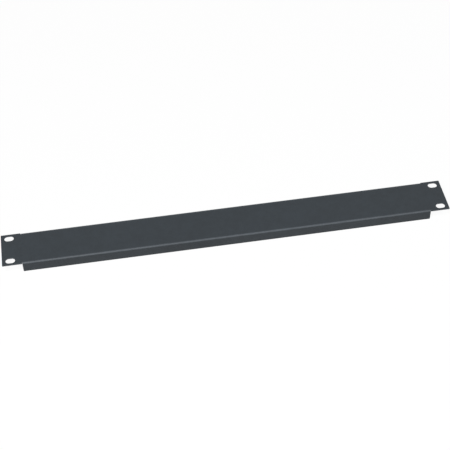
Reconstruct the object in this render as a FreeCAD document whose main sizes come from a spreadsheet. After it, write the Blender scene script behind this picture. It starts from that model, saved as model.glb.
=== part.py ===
import FreeCAD, Part
import math
import os
import Sketcher

# Blanking panel for one unit of a 19-inch rack: one steel sheet with a flange folded back along each
# long edge, and an ear at each end with two slotted screw holes. Lengths are in millimetres.
#
# Frame: the panel lies face up on the free edges of its flanges. X runs along its length, Y across
# its height in the rack, and Z out of its front face. The origin is midway along and across, level
# with the free edges.

NODE = "blanking_panel"

SIZES = (
    ("panel_length", 482.6, "over both ears: 19 inches"),
    ("panel_width", 43.7, "over both flanges: one rack unit less its working gap"),
    ("panel_depth", 12.5, "from the front face to the free edges of the flanges"),
    ("sheet", 1.2, "thickness of the steel"),
    ("bend_radius", 0.3, "inside the folds"),
    ("ear_length", 21.0, "from the end of the flanges to the end of the panel"),
    ("ear_corner_radius", 0.6, "outer corners of the ears"),
    ("flange_corner_radius", 0.8, "free corners of the flanges"),
    ("slot_from_end", 8.75, "end of the panel to the slot centres: 465.1 between the two ends' slots"),
    ("slot_from_edge", 5.975, "long edge to the slot centres: 31.75 between an ear's two slots"),
    ("slot_length", 10.0, "end to end"),
    ("slot_width", 7.0, "clears an M6 screw"),
    ("relief_width", 0.2, "slit between the end of a flange and the ear"),
    ("relief_overrun", 0.3, "how far the slit runs past the start of the fold"),
    ("edge_break", 0.2, "rounding of the cut edges"),
)

# Measures that follow from the sizes, as the spreadsheet's own expressions.
FLANGE_HALF_LENGTH = "(Sizes.panel_length / 2 - Sizes.ear_length)"
OUTER_BEND_RADIUS = "(Sizes.bend_radius + Sizes.sheet)"
BACK_OF_FACE = "(Sizes.panel_depth - Sizes.sheet)"

# Sketcher's numbers for the points of a line or an arc, and for a sketch's own origin and axis.
START = 1
END = 2
CENTRE = 3
ORIGIN = (-1, START)
ACROSS_AXIS = -1

NORMAL = FreeCAD.Vector(0, 0, 1)
TOLERANCE = 1e-4


def make_sheet(doc):
    sheet = doc.addObject("Spreadsheet::Sheet", "Sizes")
    for row, (alias, value, note) in enumerate(SIZES, start=1):
        sheet.set(f"A{row}", alias)
        sheet.set(f"B{row}", str(value))
        sheet.set(f"C{row}", note)
        sheet.setAlias(f"B{row}", alias)
    doc.recompute()


def origin_plane(body, role):
    return next(plane for plane in body.Origin.OriginFeatures if plane.Role == role)


def add_sketch(body, name, role, raised=None):
    """A sketch on one of the body's origin planes, or raised above it by an expression."""
    sketch = body.newObject("Sketcher::SketchObject", name)
    sketch.AttachmentSupport = (origin_plane(body, role), [""])
    sketch.MapMode = "FlatFace"
    if raised:
        sketch.setExpression("AttachmentOffset.Base.z", raised)
    return sketch


def point(sketch, across, up):
    """Where two expressions put a point of the sketch."""
    return FreeCAD.Vector(sketch.evalExpression(across), sketch.evalExpression(up), 0)


def draw_line(sketch, start, end):
    return sketch.addGeometry(Part.LineSegment(start, end))


def draw_arc(sketch, centre, start, end):
    """An arc drawn anticlockwise about its centre."""
    radius = (start - centre).Length
    angles = [math.atan2(p.y - centre.y, p.x - centre.x) for p in (start, end)]
    return sketch.addGeometry(Part.ArcOfCircle(Part.Circle(centre, NORMAL, radius), *angles))


def constrain(sketch, kind, *terms):
    return sketch.addConstraint(Sketcher.Constraint(kind, *terms))


def dimension(sketch, kind, *terms):
    """A dimension whose last term is the expression that it follows."""
    *geometry, expression = terms
    index = constrain(sketch, kind, *geometry, float(sketch.evalExpression(expression)))
    sketch.setExpression(f"Constraints[{index}]", expression)


def place(sketch, geometry, vertex, across=None, up=None):
    """Dimensions a point from the sketch's origin."""
    if across:
        dimension(sketch, "DistanceX", *ORIGIN, geometry, vertex, across)
    if up:
        dimension(sketch, "DistanceY", *ORIGIN, geometry, vertex, up)


def draw_outline(sketch, corners):
    """A closed outline of level and upright lines. Each corner is (across, up, radius or None)."""
    points = [point(sketch, across, up) for across, up, _ in corners]
    radii = [sketch.evalExpression(radius) if radius else 0 for _, _, radius in corners]
    nexts = list(range(1, len(corners))) + [0]
    runs = [(points[after] - points[i]).normalize() for i, after in enumerate(nexts)]
    lines = []
    for i, after in enumerate(nexts):
        start = points[i] + runs[i] * radii[i]
        end = points[after] - runs[i] * radii[after]
        lines.append(draw_line(sketch, start, end))
        place_line(sketch, lines[i], runs[i], *corners[i][:2])
    for i, (_, _, radius) in enumerate(corners):
        if radius:
            join = (lines[i - 1], lines[i])
            round_corner(sketch, join, points[i], (runs[i - 1], runs[i]), radius)
        else:
            constrain(sketch, "Coincident", lines[i - 1], END, lines[i], START)


def place_line(sketch, number, run, across, up):
    """Holds a line level or upright, and at its place."""
    if abs(run.x) < abs(run.y):
        constrain(sketch, "Vertical", number)
        place(sketch, number, START, across=across)
        return
    constrain(sketch, "Horizontal", number)
    if up == "0":
        constrain(sketch, "PointOnObject", number, START, ACROSS_AXIS)
    else:
        place(sketch, number, START, up=up)


def round_corner(sketch, join, corner, runs, radius):
    """An arc tangent to the two lines that meet at a corner."""
    size = sketch.evalExpression(radius)
    arriving = corner - runs[0] * size
    leaving = corner + runs[1] * size
    centre = arriving + runs[1] * size
    if runs[0].cross(runs[1]).z > 0:
        arc = draw_arc(sketch, centre, arriving, leaving)
        first, last = START, END
    else:
        arc = draw_arc(sketch, centre, leaving, arriving)
        first, last = END, START
    constrain(sketch, "Tangent", join[0], END, arc, first)
    constrain(sketch, "Tangent", arc, last, join[1], START)
    dimension(sketch, "Radius", arc, radius)


def draw_slot(sketch, first, last, radius):
    """A round-ended slot between two centres, each (across, up), level or upright."""
    centres = [point(sketch, *first), point(sketch, *last)]
    run = (centres[1] - centres[0]).normalize()
    side = run.cross(NORMAL) * sketch.evalExpression(radius)
    right = draw_line(sketch, centres[0] + side, centres[1] + side)
    far_end = draw_arc(sketch, centres[1], centres[1] + side, centres[1] - side)
    left = draw_line(sketch, centres[1] - side, centres[0] - side)
    near_end = draw_arc(sketch, centres[0], centres[0] - side, centres[0] + side)
    loop = (right, far_end, left, near_end)
    for i, geometry in enumerate(loop):
        constrain(sketch, "Tangent", loop[i - 1], END, geometry, START)
    constrain(sketch, "Equal", near_end, far_end)
    dimension(sketch, "Radius", near_end, radius)
    place(sketch, near_end, CENTRE, *first)
    if abs(run.x) > abs(run.y):
        constrain(sketch, "Horizontal", right)
        place(sketch, far_end, CENTRE, across=last[0])
    else:
        constrain(sketch, "Vertical", right)
        place(sketch, far_end, CENTRE, up=last[1])


def add_pad(body, name, sketch, length):
    pad = body.newObject("PartDesign::Pad", name)
    pad.Profile = sketch
    pad.setExpression("Length", length)
    return pad


def add_through_cut(body, name, sketch):
    pocket = body.newObject("PartDesign::Pocket", name)
    pocket.Profile = sketch
    pocket.Type = "ThroughAll"
    return pocket


def add_channel(body):
    """The web between the ears and both flanges, folded round true inner and outer bends."""
    outside = "Sizes.panel_width / 2"
    inside = "(Sizes.panel_width / 2 - Sizes.sheet)"
    section = add_sketch(body, "channel_section", "YZ_Plane")
    draw_outline(
        section,
        (
            (f"-{outside}", "0", None),
            (f"-{outside}", "Sizes.panel_depth", OUTER_BEND_RADIUS),
            (outside, "Sizes.panel_depth", OUTER_BEND_RADIUS),
            (outside, "0", None),
            (inside, "0", None),
            (inside, BACK_OF_FACE, "Sizes.bend_radius"),
            (f"-{inside}", BACK_OF_FACE, "Sizes.bend_radius"),
            (f"-{inside}", "0", None),
        ),
    )
    channel = add_pad(body, "folded_channel", section, f"2 * {FLANGE_HALF_LENGTH}")
    channel.SideType = "Symmetric"
    return channel


def add_ear(body):
    """The flat sheet past the end of the flanges."""
    end = "Sizes.panel_length / 2"
    side = "Sizes.panel_width / 2"
    outline = add_sketch(body, "ear_outline", "XY_Plane", raised=BACK_OF_FACE)
    draw_outline(
        outline,
        (
            (FLANGE_HALF_LENGTH, f"-{side}", None),
            (end, f"-{side}", "Sizes.ear_corner_radius"),
            (end, side, "Sizes.ear_corner_radius"),
            (FLANGE_HALF_LENGTH, side, None),
        ),
    )
    return add_pad(body, "ear", outline, "Sizes.sheet")


def add_bend_reliefs(body):
    """A narrow slit at each side of the ear, so that the flange folds without tearing it."""
    half_width = "Sizes.relief_width / 2"
    across = f"{FLANGE_HALF_LENGTH} + {half_width}"
    bottom = f"Sizes.panel_width / 2 - {OUTER_BEND_RADIUS} - Sizes.relief_overrun + {half_width}"
    mouth = "Sizes.panel_width / 2"
    outline = add_sketch(body, "bend_relief_outline", "XY_Plane", raised="Sizes.panel_depth")
    for sign in ("", "-"):
        draw_slot(outline, (across, f"{sign}({bottom})"), (across, f"{sign}({mouth})"), half_width)
    return add_through_cut(body, "bend_reliefs", outline)


def add_rack_slots(body):
    """Two level screw slots in the ear."""
    centre = "Sizes.panel_length / 2 - Sizes.slot_from_end"
    half_run = "(Sizes.slot_length - Sizes.slot_width) / 2"
    outline = add_sketch(body, "rack_slot_outline", "XY_Plane", raised="Sizes.panel_depth")
    for sign in ("", "-"):
        up = f"{sign}(Sizes.panel_width / 2 - Sizes.slot_from_edge)"
        inner = (f"{centre} - {half_run}", up)
        outer = (f"{centre} + {half_run}", up)
        draw_slot(outline, inner, outer, "Sizes.slot_width / 2")
    return add_through_cut(body, "rack_slots", outline)


def mirror_end(body, features):
    """The other end of the panel."""
    mirrored = body.newObject("PartDesign::Mirrored", "other_end")
    mirrored.Originals = features
    mirrored.MirrorPlane = (origin_plane(body, "YZ_Plane"), [""])
    body.Tip = mirrored
    return mirrored


def round_flange_corners(body, base):
    """Rounds the two free corners of each flange."""
    body.Document.recompute()
    corners = []
    for number, edge in enumerate(base.Shape.Edges, start=1):
        ends = [vertex.Point for vertex in edge.Vertexes]
        across = len(ends) == 2 and abs(ends[0].x - ends[1].x) < TOLERANCE
        if across and all(abs(p.z) < TOLERANCE for p in ends):
            corners.append(f"Edge{number}")
    fillet = body.newObject("PartDesign::Fillet", "flange_corners")
    fillet.Base = (base, corners)
    fillet.setExpression("Radius", "Sizes.flange_corner_radius")
    return fillet


def break_edges(body, base):
    """Rounds every cut edge of the sheet a little."""
    body.Document.recompute()
    fillet = body.newObject("PartDesign::Fillet", "broken_edges")
    fillet.Base = (base, [])
    fillet.UseAllEdges = True
    fillet.setExpression("Radius", "Sizes.edge_break")
    return fillet


def make_panel(doc):
    body = doc.addObject("PartDesign::Body", NODE)
    body.Label = NODE
    add_channel(body)
    end_features = [add_ear(body), add_bend_reliefs(body), add_rack_slots(body)]
    both_ends = mirror_end(body, end_features)
    rounded = round_flange_corners(body, both_ends)
    body.Tip = break_edges(body, rounded)
    # The body's own frame is the panel's frame.
    body.Placement = FreeCAD.Placement()
    doc.recompute()
    return body


def check(doc, body):
    for item in doc.Objects:
        if "Invalid" in item.State or "Error" in item.State:
            raise RuntimeError(f"{item.Label} failed: {item.State}")
    if body.Shape.isNull() or not body.Shape.isValid():
        raise RuntimeError(f"{body.Label} has no valid shape")
    if len(body.Shape.Solids) != 1:
        raise RuntimeError(f"{body.Label} isn't one solid")


doc = FreeCAD.newDocument("blanking_panel_model")
make_sheet(doc)
panel = make_panel(doc)
check(doc, panel)
os.makedirs("parts", exist_ok=True)
panel.Shape.exportStep(f"parts/{panel.Label}.step")
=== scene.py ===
import math

import bpy
from mathutils import Matrix, Vector


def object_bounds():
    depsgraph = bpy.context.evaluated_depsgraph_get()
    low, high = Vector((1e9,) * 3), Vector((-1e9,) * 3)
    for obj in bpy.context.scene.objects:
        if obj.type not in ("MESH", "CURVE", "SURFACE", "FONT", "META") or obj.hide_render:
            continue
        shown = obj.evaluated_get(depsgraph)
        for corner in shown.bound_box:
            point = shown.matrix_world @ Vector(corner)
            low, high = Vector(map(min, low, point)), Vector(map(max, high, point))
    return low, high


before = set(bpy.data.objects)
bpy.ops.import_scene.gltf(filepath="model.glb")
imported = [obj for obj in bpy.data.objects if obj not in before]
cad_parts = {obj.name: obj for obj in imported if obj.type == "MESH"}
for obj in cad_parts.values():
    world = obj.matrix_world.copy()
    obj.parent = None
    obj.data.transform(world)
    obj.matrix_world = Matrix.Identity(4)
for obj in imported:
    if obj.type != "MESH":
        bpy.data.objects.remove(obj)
CAD_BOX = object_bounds()

# A blanking panel for a server rack: one folded steel sheet with a dark slate powder coat, lying face
# up on its flanges on a white table. Lengths are in metres.

# Panel: how far the ears reach past the flanges, and the outer radius of the folds
EAR_LENGTH = 0.021
FOLD_RADIUS = 0.0015

# Powder coat
COAT_COLOUR = (0.0148, 0.0204, 0.0256)
COAT_ROUGHNESS = 0.50
COAT_SPECULAR = 0.36
GRAIN_PER_METRE = 1900
GRAIN_DEPTH = 0.000016
GRAIN_TONE = 0.22
GRAIN_ROUGHNESS = 0.06
PEEL_PER_METRE = 380
PEEL_DEPTH = 0.000045
MOTTLE_PER_METRE = 130
MOTTLE_TONE = 0.09
MOTTLE_ROUGHNESS = 0.015
CLOUD_PER_METRE = 22
CLOUD_TONE = 0.07
CLOUD_ROUGHNESS = 0.02
# Most of a noise pattern lies between these two values.
NOISE_LOW = 0.3
NOISE_HIGH = 0.7

# Painted highlight on the folds and edges: what the painted highlight adds to the colour, how squarely
# the surface faces along an axis where it starts and where it is full, how far it runs onto the face
# beside a fold, and how near to the top of the panel the face is told from the fold.
PAINTED_HIGHLIGHT_LIFT = (0.0330, 0.0360, 0.0400)
HIGHLIGHT_STARTS = 0.9995
HIGHLIGHT_IS_FULL = 0.97
HIGHLIGHT_MARGIN = 0.0008
FACE_SKIN = 0.00005

# Camera
CAMERA_PLACE = Vector((-0.1350, -0.87546, 0.94644))
CAMERA_AIM = Vector((-0.0028, -0.00416, 0.01254))
CAMERA_ROLL = math.radians(-0.98)
LENS_MM = 95.75
SENSOR_MM = 36.0
NEAREST_SEEN = 0.05
FARTHEST_SEEN = 100

# Light: each softbox has a name, a place, a point that it is aimed at, and a power in watts.
SOFTBOXES = (
    ("softbox_left", Vector((-0.60, -0.78, 1.49)), Vector((-0.30, 0, 0)), 28),
    ("softbox_right", Vector((0.90, -0.78, 1.49)), Vector((0.45, 0, 0)), 17),
)
SOFTBOX_SIZE = (0.3, 0.8)
FILL_STRENGTH = 0.06

# Floor
FLOOR_WIDTH = 20
FLOOR_DROP = 0.00005
FLOOR_COLOUR = (0.9, 0.9, 0.9, 1)
FLOOR_GLOW = 0.94


class Nodes:
    """Adds and joins the nodes of one node tree."""

    def __init__(self, owner):
        owner.use_nodes = True
        self.tree = owner.node_tree
        self.tree.nodes.clear()

    def add(self, kind, values, **settings):
        """A node with its settings, whose inputs are joined to sockets or set to plain values."""
        node = self.tree.nodes.new("ShaderNode" + kind)
        for name, value in settings.items():
            setattr(node, name, value)
        for socket, value in values.items():
            if isinstance(value, bpy.types.NodeSocket):
                self.tree.links.new(value, node.inputs[socket])
            else:
                node.inputs[socket].default_value = value
        return node

    def math(self, operation, *values):
        return self.add("Math", dict(enumerate(values)), operation=operation).outputs["Value"]

    def ramp(self, value, low, high, start=0.0, end=1.0):
        """Goes from start, where the value is low, to end, where it is high."""
        values = {"Value": value, "From Min": low, "From Max": high, "To Min": start, "To Max": end}
        return self.add("MapRange", values).outputs["Result"]

    def split(self, vector):
        return self.add("SeparateXYZ", {"Vector": vector}).outputs


def set_camera():
    data = bpy.data.cameras.new("camera")
    data.lens = LENS_MM
    data.sensor_width = SENSOR_MM
    data.clip_start = NEAREST_SEEN
    data.clip_end = FARTHEST_SEEN
    camera = bpy.data.objects.new("camera", data)
    bpy.context.collection.objects.link(camera)
    turn = (CAMERA_AIM - CAMERA_PLACE).to_track_quat("-Z", "Y").to_matrix().to_4x4()
    camera.matrix_world = Matrix.Translation(CAMERA_PLACE) @ turn @ Matrix.Rotation(CAMERA_ROLL, 4, "Z")
    bpy.context.scene.camera = camera


def seen_by_camera(nodes):
    """1 for what the camera sees, also mirrored or through glass, and 0 for the light on things."""
    paths = nodes.add("LightPath", {}).outputs
    mirrored = nodes.math("MAXIMUM", paths["Is Glossy Ray"], paths["Is Transmission Ray"])
    return nodes.math("MAXIMUM", paths["Is Camera Ray"], mirrored)


def set_world():
    """Plain white to look at, and a weak fill light for the panel."""
    world = bpy.data.worlds.new("studio")
    bpy.context.scene.world = world
    nodes = Nodes(world)
    strength = nodes.ramp(seen_by_camera(nodes), 0, 1, FILL_STRENGTH, 1)
    background = nodes.add("Background", {"Color": (1, 1, 1, 1), "Strength": strength})
    nodes.add("OutputWorld", {"Surface": background.outputs["Background"]})


def add_softbox(name, place, aim, power):
    data = bpy.data.lights.new(name, "AREA")
    data.shape = "RECTANGLE"
    data.size, data.size_y = SOFTBOX_SIZE
    data.energy = power
    light = bpy.data.objects.new(name, data)
    bpy.context.collection.objects.link(light)
    light.location = place
    light.rotation_euler = (aim - place).to_track_quat("-Z", "Y").to_euler()


def floor_material():
    """White paper with a glow that only the camera sees, so that it looks white and keeps its shadow."""
    material = bpy.data.materials.new("floor_white")
    nodes = Nodes(material)
    paper = nodes.add("BsdfDiffuse", {"Color": FLOOR_COLOUR})
    glow = nodes.add("Emission", {"Strength": 1.0})
    share = nodes.math("MULTIPLY", seen_by_camera(nodes), FLOOR_GLOW)
    mix = nodes.add("MixShader", {0: share, 1: paper.outputs["BSDF"], 2: glow.outputs["Emission"]})
    nodes.add("OutputMaterial", {"Surface": mix.outputs["Shader"]})
    return material


def add_floor():
    bpy.ops.mesh.primitive_plane_add(size=FLOOR_WIDTH, location=(0, 0, -FLOOR_DROP))
    floor = bpy.context.object
    floor.name = "floor"
    floor.data.materials.append(floor_material())


def round_folds_and_edges(nodes, normal):
    # This mask places the painted highlight on the folds and rounded edges.
    """Rises to 1 where the surface turns away from all three axes, as on a fold or a rounded edge."""
    x, y, z = [nodes.math("ABSOLUTE", side) for side in nodes.split(normal)]
    squareness = nodes.math("MAXIMUM", nodes.math("MAXIMUM", x, y), z)
    return nodes.ramp(squareness, HIGHLIGHT_STARTS, HIGHLIGHT_IS_FULL)


def beside_folds(nodes, place):
    # This mask carries the painted highlight a little way onto the face beside each fold.
    """Rises to 1 over the narrow margin of the front face that runs along each fold."""
    along, across, up = nodes.split(place)
    panel_end, panel_side, panel_top = CAD_BOX[1]
    fold_start = panel_side - FOLD_RADIUS
    margin = nodes.ramp(nodes.math("ABSOLUTE", across), fold_start - HIGHLIGHT_MARGIN, fold_start)
    face = nodes.ramp(up, panel_top - 2 * FACE_SKIN, panel_top - FACE_SKIN)
    folded = nodes.math("LESS_THAN", nodes.math("ABSOLUTE", along), panel_end - EAR_LENGTH)
    return nodes.math("MULTIPLY", nodes.math("MULTIPLY", margin, face), folded)


def powder_coat():
    material = bpy.data.materials.new("powder_coat_slate")
    nodes = Nodes(material)
    coordinates = nodes.add("TexCoord", {}).outputs

    def noise(per_metre, detail, roughness=0.5):
        values = {"Scale": per_metre, "Detail": detail, "Roughness": roughness}
        return nodes.add("TexNoise", {"Vector": coordinates["Object"], **values}).outputs["Fac"]

    def spread(value, low, high):
        """Stretches the middle of a noise pattern from low to high."""
        return nodes.ramp(value, NOISE_LOW, NOISE_HIGH, low, high)

    def tone(value, share):
        """A factor for the colour, up to a share above and below 1."""
        return spread(value, 1 - share, 1 + share)

    grain = noise(GRAIN_PER_METRE, detail=2, roughness=0.6)
    peel = noise(PEEL_PER_METRE, detail=1)
    mottle = noise(MOTTLE_PER_METRE, detail=2)
    cloud = noise(CLOUD_PER_METRE, detail=3, roughness=0.6)

    # A painted highlight: the folds, the edges and the face close beside a fold are coloured a little
    # lighter.
    turned = round_folds_and_edges(nodes, coordinates["Normal"])
    painted_highlight = nodes.math("MAXIMUM", turned, beside_folds(nodes, coordinates["Object"]))
    lift = {0: painted_highlight, 1: PAINTED_HIGHLIGHT_LIFT, 2: COAT_COLOUR}
    pigment = nodes.add("VectorMath", lift, operation="MULTIPLY_ADD").outputs["Vector"]

    # The pigment is a little uneven from grain to grain and, more softly, in patches of some centimetres.
    speckle = nodes.math("MULTIPLY", tone(grain, GRAIN_TONE), tone(mottle, MOTTLE_TONE))
    speckle = nodes.math("MULTIPLY", speckle, tone(cloud, CLOUD_TONE))
    colour = nodes.add("VectorMath", {0: pigment, "Scale": speckle}, operation="SCALE")

    # The coat cured a shade glossier in some patches, and the tops of its grain are the smoothest.
    patches = spread(mottle, MOTTLE_ROUGHNESS, -MOTTLE_ROUGHNESS)
    patches = nodes.math("ADD", patches, spread(cloud, CLOUD_ROUGHNESS, -CLOUD_ROUGHNESS))
    roughness = nodes.math("ADD", patches, spread(grain, GRAIN_ROUGHNESS, -GRAIN_ROUGHNESS))
    roughness = nodes.math("ADD", roughness, COAT_ROUGHNESS)

    # Orange peel left by the melting powder, with the fine grain over it.
    waves = nodes.add("Bump", {"Height": peel, "Distance": PEEL_DEPTH})
    relief = {"Height": grain, "Distance": GRAIN_DEPTH, "Normal": waves.outputs["Normal"]}
    surface = nodes.add("Bump", relief)

    coat = {
        "Base Color": colour.outputs["Vector"],
        "Roughness": roughness,
        "Specular IOR Level": COAT_SPECULAR,
        "Normal": surface.outputs["Normal"],
    }
    shader = nodes.add("BsdfPrincipled", coat)
    nodes.add("OutputMaterial", {"Surface": shader.outputs["BSDF"]})
    return material


def coat_panel(panel):
    panel.data.materials.clear()
    panel.data.materials.append(powder_coat())


set_camera()
set_world()
for softbox in SOFTBOXES:
    add_softbox(*softbox)
add_floor()
coat_panel(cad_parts["blanking_panel"])
bpy.context.scene.view_settings.view_transform = "Standard"
